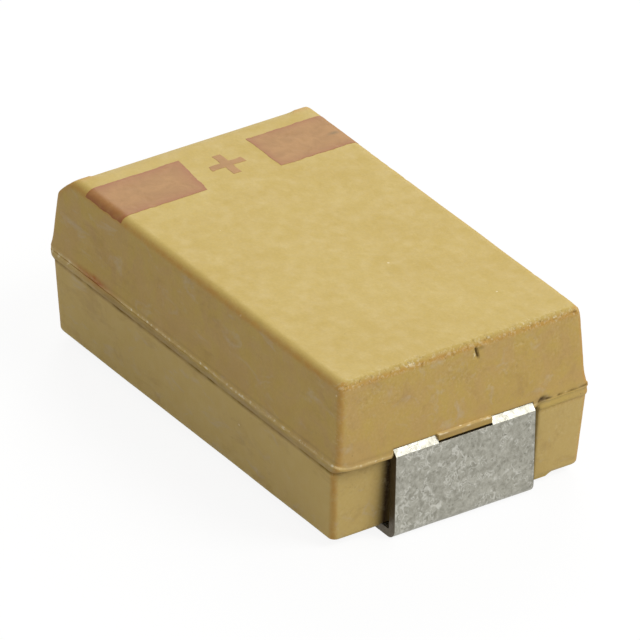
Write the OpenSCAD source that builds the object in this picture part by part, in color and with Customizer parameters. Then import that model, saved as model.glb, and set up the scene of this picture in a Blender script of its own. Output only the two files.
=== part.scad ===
// Moulded tantalum chip capacitor, 7343 case size, standing on its two folded terminals.
// X runs along the length, with the anode (positive) end at -X and the cathode end at +X.
// Y runs across the width, Z is up, and z = 0 is the board that the feet stand on.

/* [Overall] */
// Length over the outer faces of the two legs
overall_l = 7.31; // [7:0.01:7.6]
// Width over the parting ridge
overall_w = 4.28; // [4:0.01:4.6]
// Height of the top face above the board
top_z = 2.69; // [2.5:0.01:3.1]

/* [Case] */
// Gap between the underside of the case and the board
stand_off = 0.10; // [0.06:0.01:0.13]
// Draft of the two end walls, in degrees
draft_end = 4; // [1:0.5:6]
// Draft of the two long walls, in degrees
draft_side = 3; // [1:0.5:6]
// Radius of the long edges of the top
top_r = 0.15; // [0.06:0.01:0.24]
// Radius of the end edges of the top
top_end_r = 0.07; // [0.05:0.01:0.15]
// Radius of the edges of the underside
bottom_r = 0.08; // [0.02:0.01:0.15]
// Radius of the upright corners
corner_r = 0.10; // [0.05:0.01:0.25]
// Size of the bevel along the top edge of the anode end
bevel = 0.38; // [0.2:0.01:0.5]

/* [Parting ridge] */
// Reach of each leg past the ridge
leg_out = 0.05; // [0.02:0.005:0.1]
// Gap between a leg and the lower half's end wall, where the mould parts
leg_gap = 0.065; // [0.05:0.005:0.2]
// Setback of the lower half's long walls from the upper half's, where the mould parts
side_step = 0.01; // [0.005:0.005:0.1]
// Reach of the ridge past the end walls of the upper half
ridge_end = 0.02; // [0.01:0.01:0.04]
// Reach of the ridge past the long walls of the upper half
ridge_side = 0.05; // [0.01:0.01:0.15]
// Thickness of the ridge at its tip
ridge_t = 0.03; // [0.01:0.01:0.06]
// Height over which the upper walls flare out to the ridge
flare_h = 0.28; // [0.15:0.01:0.5]
// Height of the undercut from the middle of the ridge down to the lower walls
undercut_h = 0.11; // [0.08:0.01:0.2]

/* [Polarity band] */
// Distance along X from the anode end of the top, before its bevel, to the band
band_inset = 0.705; // [0.6:0.005:1.2]
// Length of the band along X
band_l = 0.885; // [0.4:0.005:1.2]
// Gap between the band's two blocks
band_gap = 1.24; // [0.6:0.02:1.8]
// Place of the middle of that gap across the width
band_gap_y = 0.06; // [-0.2:0.01:0.2]
// How far the blocks wrap down over the long edges
band_wrap = 0.16; // [0.05:0.01:0.4]
// Depth of the band into the case
band_t = 0.03; // [0.02:0.005:0.04]

/* [Terminals] */
// Width of each leg and foot
term_w = 2.34; // [2.1:0.02:2.6]
// Thickness of the terminal strip
term_t = 0.13; // [0.1:0.005:0.14]
// Height of the strip's middle where it leaves the case, which is where the mould parts
part_z = 1.365; // [1.3:0.005:1.45]
// Inner radius of the bends outside the case
bend_r = 0.03; // [0.02:0.01:0.06]
// Inner radius of the bends inside the case
inner_bend_r = 0.08; // [0.04:0.01:0.12]
// Length of each foot along the board, from the leg's outer face
foot_l = 1.30; // [0.8:0.02:1.6]
// Radius of each foot's free corners
foot_corner_r = 0.06; // [0.02:0.01:0.12]
// Width of the window in the cathode terminal
cathode_window = 0.90; // [0.6:0.02:1.2]
// Width of the window in the anode terminal
anode_window = 1.00; // [0.6:0.02:1.2]
// Distance from the leg's outer face to each window's edge inside the case
window_l = 0.60; // [0.4:0.02:0.64]
// Angle round the outer bend at which each window begins, up from the leg
window_angle = 32; // [10:1:60]
// Width of the shoulder that joins the two fingers beyond the window
shoulder_l = 0.12; // [0.08:0.01:0.16]

/* [Clearances] */
// Play between a leg or foot and the pocket moulded for it
pocket_play = 0.04; // [0.02:0.01:0.06]
// Play between the top of a foot and the case above it
foot_play = 0.02; // [0.01:0.005:0.05]
// Slit between the leg's edge in the window and the lip of the case above it
slit = 0.015; // [0.005:0.005:0.03]

/* [Rib beside the cathode foot] */
// Width of the rib across Y
rib_w = 0.30; // [0.1:0.01:0.5]
// Length of the rib along X
rib_l = 0.40; // [0.2:0.02:1]
// Height of the rib below the underside
rib_h = 0.045; // [0.02:0.005:0.05]
// Slope of the rib's outer flank along Y
rib_slope = 0.08; // [0.02:0.01:0.2]

/* [Anode] */
// Room for the wire and its tongue, from the anode leg's outer face to the slug
wire_room = 1.98; // [1.8:0.02:2.2]
// Thickness of the case above the coated slug
roof_t = 0.325; // [0.25:0.005:0.5]
// Thickness of the case beside the coated slug, where the mould parts
wall_t = 0.53; // [0.3:0.01:0.8]
// Radius of the long edges of the slug
slug_r = 0.20; // [0.05:0.01:0.3]
// Diameter of the anode wire
wire_d = 0.28; // [0.2:0.01:0.3]
// Depth of the wire in the slug
wire_in = 2.80; // [1.5:0.05:3.2]
// Length of the wire over the anode terminal's tongue
wire_on = 0.58; // [0.5:0.02:0.6]
// Depth of the groove that seats the wire in the tongue
groove = 0.04; // [0.02:0.005:0.06]
// Diameter of the stop washer on the wire
washer_d = 0.80; // [0.5:0.02:1]
// Thickness of the stop washer
washer_t = 0.15; // [0.1:0.01:0.2]
// Distance from the leg's outer face to the tip of the tongue
tongue_l = 1.34; // [1.32:0.02:1.4]
// Width of the tongue that carries the wire
tongue_w = 1.20; // [0.8:0.02:1.6]
// Length of the weld bead along the wire
weld_l = 0.36; // [0.2:0.02:0.44]
// Width of the weld bead on the tongue
weld_w = 0.46; // [0.42:0.02:0.6]
// Width of the weld bead at its top
weld_top_w = 0.35; // [0.33:0.01:0.4]
// Height of the weld bead above the tongue
weld_h = 0.12; // [0.06:0.01:0.16]

/* [Cathode] */
// Thickness of the manganese dioxide coat
dioxide_t = 0.05; // [0.03:0.005:0.08]
// Thickness of the graphite coat
graphite_t = 0.02; // [0.015:0.005:0.04]
// Thickness of the silver paint coat
silver_t = 0.04; // [0.02:0.005:0.06]
// Length at the wire end that the graphite leaves bare
graphite_back = 0.15; // [0.1:0.01:0.2]
// Length at the wire end that the silver paint leaves bare
silver_back = 0.30; // [0.22:0.01:0.6]
// Thickness of the silver adhesive under the slug
glue_t = 0.06; // [0.03:0.005:0.1]
// Thickness of the silver adhesive between the slug's end and the riser
glue_end = 0.09; // [0.05:0.01:0.12]
// Height of the silver adhesive up the riser from the tray
glue_h = 0.50; // [0.3:0.02:0.52]
// Length of the silver adhesive along the tray
glue_l = 2.20; // [1:0.05:2.3]
// Width of the silver adhesive
glue_w = 1.80; // [1.4:0.02:1.96]
// Width of the riser and tray
tray_w = 2.00; // [1.96:0.02:2.3]
// Length of the tray under the slug, from the riser
tray_l = 2.40; // [2.3:0.05:3]

/* [Hidden] */
$fn = 48;
// Steps round an upright corner and over an edge of the case
corner_steps = 5;
edge_steps = 5;
// Longer than the part, for cuts that run right out of it
far = 10;

// The strip and its legs
face_x = overall_l / 2;
leg_x = face_x - term_t;
strip_top = part_z + term_t / 2;
strip_low = part_z - term_t / 2;
bend_out = bend_r + term_t;
bend_x = face_x - bend_out;
bend_z = strip_top - bend_out;
foot_x = face_x - foot_l;
window_x = face_x - window_l;
window_z = bend_z + bend_out * sin(window_angle);
shoulder_x = window_x - shoulder_l;

// The riser's outer bend starts at the shoulder, and its far face looks at the slug
riser_x = shoulder_x - inner_bend_r - term_t;

// Half sizes of the ridge, and of the two halves of the case where they meet in it
ridge_half = [face_x - leg_out, overall_w / 2];
upper_part = ridge_half - [ridge_end, ridge_side];
lower_part = [leg_x - leg_gap, upper_part[1] - side_step];
draft = [tan(draft_end), tan(draft_side)];

// Half length and half width between the drafted walls, at height z
function lower_half(z) = lower_part - (part_z - z) * draft;
function upper_half(z) = upper_part - (z - part_z) * draft;
top_x = upper_half(top_z)[0];

// The slug is centred on its wire, which lies in the tongue's groove, and fills the room in the case
wire_z = strip_top + wire_d / 2 - groove;
coat_t = dioxide_t + graphite_t + silver_t;
slug_x1 = riser_x - glue_end - coat_t;
slug_x0 = wire_room - face_x;
slug_w = 2 * (upper_part[1] - wall_t - coat_t);
slug_h = 2 * (top_z - roof_t - coat_t - wire_z);
tray_z = wire_z - slug_h / 2 - coat_t - glue_t;
tongue_x = tongue_l - face_x;
wire_x = tongue_x - wire_on;

// Outline of the case at height z: a rectangle of half sizes h, with round corners
function ring(h, r, z) = [
    for (q = [0:3], i = [0:corner_steps])
        let (a = 90 * (q + i / corner_steps),
             sx = (q == 0 || q == 3) ? 1 : -1,
             sy = q < 2 ? 1 : -1)
            [sx * (h[0] - r) + r * cos(a), sy * (h[1] - r) + r * sin(a), z]
];

// The outlines from the underside up to the top, with every face moved in by e
function bottom_rings(e) =
    let (z0 = stand_off + bottom_r, r = bottom_r - e / 2)
        [for (i = [edge_steps:-1:0])
            let (a = 90 * i / edge_steps)
                ring(lower_half(z0) - (e + r * (1 - cos(a))) * [1, 1], corner_r - e, z0 - r * sin(a))];
function ridge_rings(e) =
    let (low = part_z - ridge_t / 2, high = part_z + ridge_t / 2, reach = [ridge_end, ridge_side])
        concat(
            [ring(lower_half(part_z - undercut_h) - [e, e], corner_r - e, part_z - undercut_h),
             ring(ridge_half - [e, e], corner_r - e, low)],
            [for (i = [0:edge_steps])
                let (s = i / edge_steps, z = high + s * flare_h)
                    ring(upper_half(z) + pow(1 - s, 2) * reach - [e, e], corner_r - e, z)]);
function top_rings(e) =
    let (z0 = top_z - top_r, h0 = upper_half(z0) - [top_end_r, top_r])
        [for (i = [0:edge_steps])
            let (a = 90 * i / edge_steps)
                ring(h0 + [top_end_r - e, top_r - e] * cos(a), corner_r - e, z0 + (top_r - e) * sin(a))];

// A closed skin through a stack of outlines that have the same number of points
module loft(rings) {
    n = len(rings[0]);
    m = len(rings);
    base = [for (j = [0:n - 1]) j];
    lid = [for (j = [n - 1:-1:0]) (m - 1) * n + j];
    sides = [for (k = [0:m - 2], j = [0:n - 1])
        let (a = k * n + j, b = k * n + (j + 1) % n)
            each [[a, a + n, b + n], [a, b + n, b]]];
    polyhedron([for (r = rings) each r], concat([base, lid], sides));
}

module case_form(e) {
    difference() {
        loft(concat(bottom_rings(e), ridge_rings(e), top_rings(e)));
        translate([bevel - top_x, 0, top_z])
            rotate([0, -45, 0])
                translate([-far, -far / 2, 0])
                    cube([2 * far, far, far]);
    }
}

// A box that is centred across Y, from x0 to x1 and from z0 to z1
module slab(x0, x1, w, z0, z1) {
    translate([x0, -w / 2, z0])
        cube([x1 - x0, w, z1 - z0]);
}

// A drawing in X and Z, carried across Y and centred
module across(w) {
    rotate([90, 0, 0])
        linear_extrude(w, center = true)
            children();
}

// A quarter turn of the strip about the point c, from the angle a on
module quarter(c, r, a) {
    translate(c)
        rotate(a)
            intersection() {
                difference() {
                    circle(r + term_t);
                    circle(r);
                }
                square(r + term_t);
            }
}

module outer_strip_profile() {
    translate([shoulder_x, strip_low])
        square([bend_x - shoulder_x, term_t]);
    quarter([bend_x, bend_z], bend_r, 0);
    translate([leg_x, bend_out])
        square([term_t, bend_z - bend_out]);
    quarter([bend_x, bend_out], bend_r, 270);
    translate([foot_x, 0])
        square([bend_x - foot_x, term_t]);
}

// The window is punched before the strip is bent, so its edge in the bend is radial
module window_profile() {
    polygon([[window_x, bend_z], [bend_x, bend_z],
             [bend_x + far * cos(window_angle), bend_z + far * sin(window_angle)],
             [window_x, bend_z + far]]);
}

module foot_corner() {
    translate([foot_x, term_w / 2, -term_t / 2])
        linear_extrude(2 * term_t)
            difference() {
                translate([-foot_corner_r, -foot_corner_r])
                    square(2 * foot_corner_r);
                translate([foot_corner_r, -foot_corner_r])
                    circle(foot_corner_r);
                translate([foot_corner_r, -2 * foot_corner_r])
                    square([foot_corner_r, 3 * foot_corner_r]);
            }
}

// What shows of a terminal, at the +X end: shoulder, two fingers, leg and foot
module outer_terminal(window_w) {
    difference() {
        across(term_w)
            outer_strip_profile();
        across(window_w)
            window_profile();
        foot_corner();
        mirror([0, 1, 0])
            foot_corner();
    }
}

// Room in the case for the bent part of a terminal, at the +X end
module terminal_pocket(window_w) {
    slab(leg_x - pocket_play, far, term_w + 2 * pocket_play, -far, strip_low);
    slab(leg_x - pocket_play, far, window_w, 0, window_z + slit);
    slab(foot_x - pocket_play, far, term_w + 2 * pocket_play, -far, term_t + foot_play);
}

// The slug with its coats up to a thickness e, from x0 to its blind end
module slug_form(e, x0) {
    r = slug_r + e;
    x1 = slug_x1 + e;
    translate([x0, 0, wire_z])
        rotate([90, 0, 90])
            linear_extrude(x1 - x0) {
                square([slug_w + 2 * e, slug_h + 2 * e - 2 * r], center = true);
                square([slug_w + 2 * e - 2 * r, slug_h + 2 * e], center = true);
                for (sy = [-1, 1], sz = [-1, 1])
                    translate([sy * (slug_w / 2 + e - r), sz * (slug_h / 2 + e - r)])
                        circle(r);
            }
}

module bare_slug() {
    slug_form(0, slug_x0);
}

module dioxide_form() {
    slug_form(dioxide_t, slug_x0 - dioxide_t);
}

module graphite_form() {
    slug_form(dioxide_t + graphite_t, slug_x0 + graphite_back);
}

module silver_form() {
    slug_form(coat_t, slug_x0 + silver_back);
}

// A rod along X on the wire's centre line
module rod(d, x0, x1) {
    translate([x0, 0, wire_z])
        rotate([0, 90, 0])
            cylinder(d = d, h = x1 - x0);
}

module wire_form() {
    rod(wire_d, wire_x, slug_x0 + wire_in);
}

module washer_form() {
    rod(washer_d, slug_x0 - washer_t, slug_x0);
}

module weld_form() {
    translate([wire_x + (wire_on - weld_l) / 2, 0, strip_top])
        rotate([90, 0, 90])
            linear_extrude(weld_l)
                polygon([[-weld_w / 2, 0], [weld_w / 2, 0], [weld_top_w / 2, weld_h], [-weld_top_w / 2, weld_h]]);
}

module glue_form() {
    slab(riser_x - glue_l, riser_x, glue_w, tray_z, tray_z + glue_h);
}

// A raised rib on the underside, beside the cathode foot
module rib() {
    x1 = lower_half(stand_off)[0] - bottom_r / 2;
    y0 = term_w / 2 + pocket_play;
    translate([x1 - rib_l, 0, stand_off])
        rotate([90, 0, 90])
            linear_extrude(rib_l)
                polygon([[y0, -rib_h], [y0 + rib_w, -rib_h], [y0 + rib_w + rib_slope, 0],
                         [y0 + rib_w + rib_slope, bottom_r], [y0, bottom_r]]);
}

// The two blocks of the band, cut through the top face and over its long edges
module band_blocks() {
    for (s = [-1, 1])
        translate([band_inset - top_x, band_gap_y + s * (band_gap + far) / 2 - far / 2, top_z - band_wrap])
            cube([band_l, far, far]);
}

module case() {
    color([0.74, 0.62, 0.38])
        difference() {
            union() {
                case_form(0);
                rib();
            }
            difference() {
                band_blocks();
                case_form(band_t);
            }
            terminal_pocket(cathode_window);
            mirror([1, 0, 0])
                terminal_pocket(anode_window);
            cathode_strip();
            anode_strip();
            silver_form();
            graphite_form();
            dioxide_form();
            washer_form();
            wire_form();
            weld_form();
            glue_form();
        }
}

module polarity_band() {
    color([0.72, 0.50, 0.36])
        difference() {
            intersection() {
                band_blocks();
                case_form(0);
            }
            case_form(band_t);
        }
}

module cathode_strip() {
    outer_terminal(cathode_window);
    across(tray_w) {
        quarter([shoulder_x, strip_low - inner_bend_r], inner_bend_r, 90);
        translate([riser_x, tray_z + inner_bend_r])
            square([term_t, strip_low - tray_z - 2 * inner_bend_r]);
        quarter([riser_x - inner_bend_r, tray_z + inner_bend_r], inner_bend_r, 270);
        translate([riser_x - tray_l, tray_z - term_t])
            square([tray_l - inner_bend_r, term_t]);
    }
}

module anode_strip() {
    mirror([1, 0, 0])
        outer_terminal(anode_window);
    slab(-shoulder_x, tongue_x, tongue_w, strip_low, strip_top);
}

module cathode_terminal() {
    color([0.72, 0.72, 0.68])
        cathode_strip();
}

module anode_terminal() {
    color([0.72, 0.72, 0.68])
        difference() {
            anode_strip();
            wire_form();
        }
}

module tantalum_slug() {
    color([0.36, 0.37, 0.40])
        difference() {
            bare_slug();
            wire_form();
        }
}

module anode_wire() {
    color([0.55, 0.56, 0.60])
        wire_form();
}

module stop_washer() {
    color([0.93, 0.93, 0.91])
        difference() {
            washer_form();
            wire_form();
        }
}

module manganese_dioxide_coat() {
    color([0.16, 0.15, 0.15])
        difference() {
            dioxide_form();
            bare_slug();
            washer_form();
        }
}

module graphite_coat() {
    color([0.24, 0.24, 0.25])
        difference() {
            graphite_form();
            dioxide_form();
        }
}

module silver_paint_coat() {
    color([0.78, 0.77, 0.74])
        difference() {
            silver_form();
            graphite_form();
        }
}

module silver_adhesive() {
    color([0.66, 0.65, 0.62])
        difference() {
            glue_form();
            silver_form();
            cathode_strip();
        }
}

module weld_bead() {
    color([0.62, 0.62, 0.62])
        difference() {
            weld_form();
            wire_form();
        }
}

case();
polarity_band();
anode_terminal();
cathode_terminal();
tantalum_slug();
anode_wire();
stop_washer();
manganese_dioxide_coat();
graphite_coat();
silver_paint_coat();
silver_adhesive();
weld_bead();
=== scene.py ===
# %% [markdown]
# # A moulded tantalum chip capacitor
# This lesson dresses a imported CAD model of a small surface-mount capacitor, about seven millimetres long.
# The CAD model says where every piece is. Here each piece gets the form and finish that the eye sees. The
# first step loads that model, whose boxes give the main sizes.

import math

import bpy
import numpy as np
from mathutils import Matrix, Vector


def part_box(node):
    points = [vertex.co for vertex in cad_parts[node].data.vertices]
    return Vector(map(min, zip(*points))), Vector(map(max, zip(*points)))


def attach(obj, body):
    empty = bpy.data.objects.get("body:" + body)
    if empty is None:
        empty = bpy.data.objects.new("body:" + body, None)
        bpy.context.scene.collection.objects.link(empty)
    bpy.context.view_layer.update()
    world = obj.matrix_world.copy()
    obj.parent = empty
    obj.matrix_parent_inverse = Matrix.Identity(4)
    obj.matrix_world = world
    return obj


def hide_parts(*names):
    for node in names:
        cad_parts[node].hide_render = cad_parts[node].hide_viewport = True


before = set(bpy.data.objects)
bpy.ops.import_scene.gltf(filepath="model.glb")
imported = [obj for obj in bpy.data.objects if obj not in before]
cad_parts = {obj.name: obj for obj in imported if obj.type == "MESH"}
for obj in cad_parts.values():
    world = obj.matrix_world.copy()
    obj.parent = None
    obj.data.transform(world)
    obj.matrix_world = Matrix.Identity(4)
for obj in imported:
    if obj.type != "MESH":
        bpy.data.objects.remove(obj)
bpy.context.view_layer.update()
print("CAD nodes:", sorted(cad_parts))

# %% [markdown]
# ## Sizes
# Shapes are worked out in millimetres, because the part is small, and turned into metres as a mesh is made.
# The main sizes come from the boxes of the CAD nodes, so a changed model is followed without an edit here.
# The few sizes that a box can't tell, such as drafts and edge radii, repeat those of the CAD model.

# %% Read the main sizes
MM = 0.001


def node_box(name):
    """The lowest and highest corners of a CAD node, in millimetres."""
    low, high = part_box(name)
    return np.array(low) / MM, np.array(high) / MM


def show(name, data):
    """A new object in the scene."""
    made = bpy.data.objects.new(name, data)
    bpy.context.collection.objects.link(made)
    return made


case_high = node_box("case")[1]
leg_low, leg_high = node_box("cathode_terminal")
band_low, band_high = node_box("polarity_band")
wire_low, wire_high = node_box("anode_wire")
tray_tip = leg_low[0]
tongue_tip = node_box("anode_terminal")[1][0]

ridge_half = case_high[:2]
top_z = case_high[2]
face_x = leg_high[0]
strip_w = 2 * leg_high[1]
strip_top = leg_high[2]
strip_t = 0.13
part_z = strip_top - strip_t / 2
stand_off = 0.10
FOOT_L, WINDOW_L, SHOULDER_L = 1.30, 0.60, 0.12
POCKET_PLAY, FOOT_PLAY = 0.04, 0.02
RIB_W, RIB_SLOPE, RIB_H = 0.30, 0.08, 0.045
print(f"case {2 * ridge_half[0]:.2f} x {2 * ridge_half[1]:.2f} mm, top at {top_z:.2f} mm")

# %% [markdown]
# ## Camera
# A product picture of a small part is taken from far off with a long lens, so its edges stay nearly
# parallel. The camera sits on a sphere round the part, looks at its middle, and is rolled a little about
# that line.

# %% Place the camera
CAMERA_AZIMUTH = math.radians(54.946)
CAMERA_HEIGHT = math.radians(30.574)
CAMERA_ROLL = math.radians(1.319)
CAMERA_AWAY = 185.254 * MM
CAMERA_LENS = 748.8
AIM_HEIGHT = 1.4 * MM
AIM_RIGHT = 0.0531 * MM
AIM_DOWN = 0.0534 * MM


def place_camera():
    """Axes of the camera: back points away from the part, right lies level, up closes the frame; then the
    roll."""
    flat = math.cos(CAMERA_HEIGHT)
    back = Vector((math.sin(CAMERA_AZIMUTH) * flat, -math.cos(CAMERA_AZIMUTH) * flat, math.sin(CAMERA_HEIGHT)))
    level = Vector((math.cos(CAMERA_AZIMUTH), math.sin(CAMERA_AZIMUTH), 0))
    upright = back.cross(level)
    right = level * math.cos(CAMERA_ROLL) + upright * math.sin(CAMERA_ROLL)
    up = upright * math.cos(CAMERA_ROLL) - level * math.sin(CAMERA_ROLL)
    lens = bpy.data.cameras.new("camera")
    lens.sensor_width = 36
    lens.lens = CAMERA_LENS
    lens.clip_start = 0.01
    lens.clip_end = 2
    made = show("camera", lens)
    made.rotation_mode = "QUATERNION"
    made.rotation_quaternion = Matrix((right, up, back)).transposed().to_quaternion()
    made.location = Vector((0, 0, AIM_HEIGHT)) + right * AIM_RIGHT - up * AIM_DOWN + back * CAMERA_AWAY
    return made


bpy.context.scene.camera = place_camera()
print("camera at", [round(v, 4) for v in bpy.context.scene.camera.location])

# %% [markdown]
# ## Node helpers
# A procedural finish is a graph of small nodes. A few short calls keep such graphs readable: one adds a node
# and wires its inputs, one blends two colours, one stretches a range of values, and one lays a tone over a
# colour.

# %% Helpers for materials
def new_finish(name):
    """An empty node material with a Principled shader, and the part's own coordinates in millimetres."""
    mat = bpy.data.materials.new(name)
    mat.use_nodes = True
    shader = mat.node_tree.nodes["Principled BSDF"]
    place = add(mat, "TexCoord").outputs["Object"]
    scaled = add(mat, "Mapping", {"Vector": place, "Scale": (1000, 1000, 1000)})
    return mat, shader, scaled.outputs["Vector"]


def add(mat, kind, inputs=None, **settings):
    """Adds a node. An input is a value, or the output of another node, which is then linked."""
    tree = mat.node_tree
    made = tree.nodes.new("ShaderNode" + kind)
    for key, value in settings.items():
        setattr(made, key, value)
    for key, value in (inputs or {}).items():
        if isinstance(value, bpy.types.NodeSocket):
            tree.links.new(value, made.inputs[key])
        else:
            made.inputs[key].default_value = value
    return made


def blend(mat, factor, first, second, how="MIX"):
    """Blends two colours, each a colour or an output, by a factor that is a number or an output."""
    mix = add(mat, "Mix", {0: factor, 6: first, 7: second}, data_type="RGBA", blend_type=how)
    return mix.outputs[2]


def spread(mat, value, low, high, to_low=0.0, to_high=1.0):
    """Maps low..high to to_low..to_high, and holds the value at either end."""
    inputs = {"Value": value, "From Min": low, "From Max": high, "To Min": to_low, "To Max": to_high}
    return add(mat, "MapRange", inputs).outputs["Result"]


def noise(mat, place, scale, detail=2.0, rough=0.5, twist=0.0):
    """Soft random clouds. The scale counts lumps in a millimetre."""
    inputs = {"Vector": place, "Scale": scale, "Detail": detail, "Roughness": rough, "Distortion": twist}
    return add(mat, "TexNoise", inputs).outputs["Fac"]


def calc(mat, how, first, second=0.0):
    """One step of arithmetic on values."""
    return add(mat, "Math", {0: first, 1: second}, operation=how).outputs[0]


def times(mat, first, second):
    """The product of two values."""
    return calc(mat, "MULTIPLY", first, second)


def marks(mat, name):
    """A value that the mesh stores at its points."""
    return add(mat, "Attribute", attribute_name=name).outputs["Fac"]


def dent(mat, shader, height, depth, strength=1.0):
    """Bumps the shader's normal by a height map whose full range is depth, in millimetres."""
    inputs = {"Height": height, "Distance": depth * MM, "Strength": strength}
    link(mat, add(mat, "Bump", inputs).outputs["Normal"], shader, "Normal")


def link(mat, output, shader, name):
    """Wires an output into one of the shader's sockets."""
    mat.node_tree.links.new(output, shader.inputs[name])


def paint(red, green, blue):
    """A colour given as it looks on a screen, 0 to 255, turned into the linear values that a shader
    takes."""
    screen = np.array([red, green, blue]) / 255
    linear = np.where(screen <= 0.04045, screen / 12.92, ((screen + 0.055) / 1.055) ** 2.4)
    return (*linear.tolist(), 1.0)


def layer(mat, colour, amount, strength, tone):
    """Lays a tone over a colour by the product of an amount and a strength."""
    return blend(mat, times(mat, amount, strength), colour, paint(*tone))


print("tan resin in linear values:", [round(v, 3) for v in paint(208, 183, 114)])

# %% [markdown]
# ## Floor, backdrop and light
# The part stands on a pale floor under soft studio light. The key lamp is high on the right, a wide lamp at
# the rear whitens what faces up, and the sky fills in evenly, all at a plain level. Floor and sky are white
# to the camera and to reflections. A light path node tells a camera ray from the rays that carry light, so
# white costs no extra light.

# %% Make the studio
FLOOR_HALF = 200 * MM
FLOOR_TONE = (0.62, 0.62, 0.61, 1)
FLOOR_GLOW, WHITE_SHARE = 1.12, 0.80
FILL = 0.42


def seen_ray(owner):
    """1 for rays from the camera or a mirror-like surface, and 0 for rays that carry soft light."""
    path = add(owner, "LightPath").outputs
    total = path["Is Camera Ray"]
    for name in ("Is Glossy Ray", "Is Transmission Ray"):
        total = calc(owner, "MAXIMUM", total, path[name])
    return total


def make_sky():
    """A white backdrop for seen rays, and a dimmer fill for the rest."""
    world = bpy.data.worlds.new("sky")
    bpy.context.scene.world = world
    world.use_nodes = True
    shade = world.node_tree.nodes["Background"]
    link(world, spread(world, seen_ray(world), 0, 1, FILL), shade, "Strength")
    shade.inputs["Color"].default_value = (1, 1, 1, 1)


def make_floor():
    """A flat square that keeps a faint shadow: mostly white of its own for the camera, pale and matte for
    light."""
    mesh = bpy.data.meshes.new("floor")
    a = FLOOR_HALF
    mesh.from_pydata([(-a, -a, 0), (a, -a, 0), (a, a, 0), (-a, a, 0)], [], [(0, 1, 2, 3)])
    floor = show("floor", mesh)
    mat = bpy.data.materials.new("pale_floor")
    mat.use_nodes = True
    nodes = mat.node_tree.nodes
    nodes.remove(nodes["Principled BSDF"])
    matte = add(mat, "BsdfDiffuse", {"Color": FLOOR_TONE}).outputs[0]
    white = add(mat, "Emission", {"Strength": FLOOR_GLOW}).outputs[0]
    share = times(mat, seen_ray(mat), WHITE_SHARE)
    mix = add(mat, "MixShader", {0: share, 1: matte, 2: white}).outputs[0]
    link(mat, mix, nodes["Material Output"], "Surface")
    mesh.materials.append(mat)


def make_lamp(name, where, width, power):
    """A square soft lamp that looks at the part."""
    light = bpy.data.lights.new(name, "AREA")
    light.shape = "SQUARE"
    light.size = width * MM
    light.energy = power
    lamp = show(name, light)
    lamp.location = Vector(where) * MM
    lamp.rotation_mode = "QUATERNION"
    lamp.rotation_quaternion = Vector(where).to_track_quat("Z", "Y")


make_sky()
make_floor()
make_lamp("key_lamp", (74, 52, 104), 62, 0.088)
make_lamp("rear_lamp", (-95, 66, 74), 70, 0.062)
bpy.context.scene.view_settings.view_transform = "Standard"

# %% [markdown]
# ## Mesh helpers
# Every surface is worked out as whole arrays of points, so no loop runs over vertices. One helper makes a
# mesh from arrays. Another gives smooth random lumps, which no moulding is without.

# %% Helpers for meshes
def make_piece(name, points, quads, triangles=(), smooth_below=35):
    """A mesh object from points in millimetres. Edges sharper than an angle in degrees stay crisp."""
    mesh = bpy.data.meshes.new(name)
    faces = np.asarray(quads).tolist() + np.asarray(triangles).tolist()
    mesh.from_pydata((np.asarray(points) * MM).tolist(), [], faces)
    mesh.polygons.foreach_set("use_smooth", np.ones(len(mesh.polygons), dtype=bool))
    mesh.set_sharp_from_angle(angle=math.radians(smooth_below))
    mesh.update()
    return show(name, mesh)


def store_marks(piece, name, values):
    """Stores one value at each point, for a material to read."""
    layer = piece.data.attributes.new(name, "FLOAT", "POINT")
    layer.data.foreach_set("value", np.clip(values, 0, 1).astype(np.float32).ravel())


def lumps(points, size, seed):
    """Random lumps from -1 to 1: a cubic lattice of the given size holds random numbers, and a point blends
    the numbers at the eight corners round it by how near it is to each, eased so that no crease shows."""
    table = np.random.default_rng(seed).uniform(-1, 1, 4096)
    cell = np.floor(points / size).astype(np.int64)
    part = points / size - cell
    ease = part * part * (3 - 2 * part)
    total = np.zeros(points.shape[:-1])
    for corner in np.ndindex(2, 2, 2):
        at = cell + corner
        key = (at[..., 0] * 73856093) ^ (at[..., 1] * 19349663) ^ (at[..., 2] * 83492791)
        near = np.where(np.array(corner) == 1, ease, 1 - ease).prod(axis=-1)
        total += near * table[key % 4096]
    return total


def bell(value, middle, width):
    """A smooth hump of height 1 about a middle."""
    return np.exp(-((value - middle) / width) ** 2)


def step_up(value, low, high):
    """0 below low, 1 above high, and an S between them."""
    t = np.clip((value - low) / (high - low), 0, 1)
    return t * t * (3 - 2 * t)


def stations(low, high, step, breaks=(), pair=0.003):
    """Even stations from low to high, with a close pair on either side of each break for a crisp edge, or
    just the break itself where the pair is 0. Even stations that fall too near a break are left out."""
    even = np.linspace(low, high, int(round((high - low) / step)) + 1)
    breaks = np.asarray(breaks, dtype=float)
    away = np.abs(even[:, None] - breaks).min(axis=1, initial=step) > step / 4
    return np.unique(np.concatenate([even[away], breaks - pair, breaks + pair]).round(5))


print("lumps at two places:", np.round(lumps(np.array([[0.1, 0.2, 0.3], [2.5, 0, 0.5]]), 0.8, 1), 3))

# %% [markdown]
# ## The case: a round-cornered outline carried up a profile
# The real case is epoxy, pressed into a mould of two halves. Each half widens towards the parting line, so
# that the part can leave the mould, and a small ridge is left where the halves met. A stack of outlines
# gives that form. Each row of the grid is one outline, with its own height and half sizes, and each column
# is one station round it. Stations on a wall keep their place along it at every height, so that pockets get
# straight edges. Stations at a corner slide with the half sizes.

# %% Stations round the case
FLAT_X, FLAT_Y = 3.0, 1.6
CORNER_R = 0.10
cathode_window = 0.90
anode_window = 1.00
pocket_half = strip_w / 2 + POCKET_PLAY
pocket_end = face_x - FOOT_L - POCKET_PLAY
rib_far_y = pocket_half + RIB_W + RIB_SLOPE / 2
rib_start_x = 2.93
nick_y = 0.25
pit_y = 1.32


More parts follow.
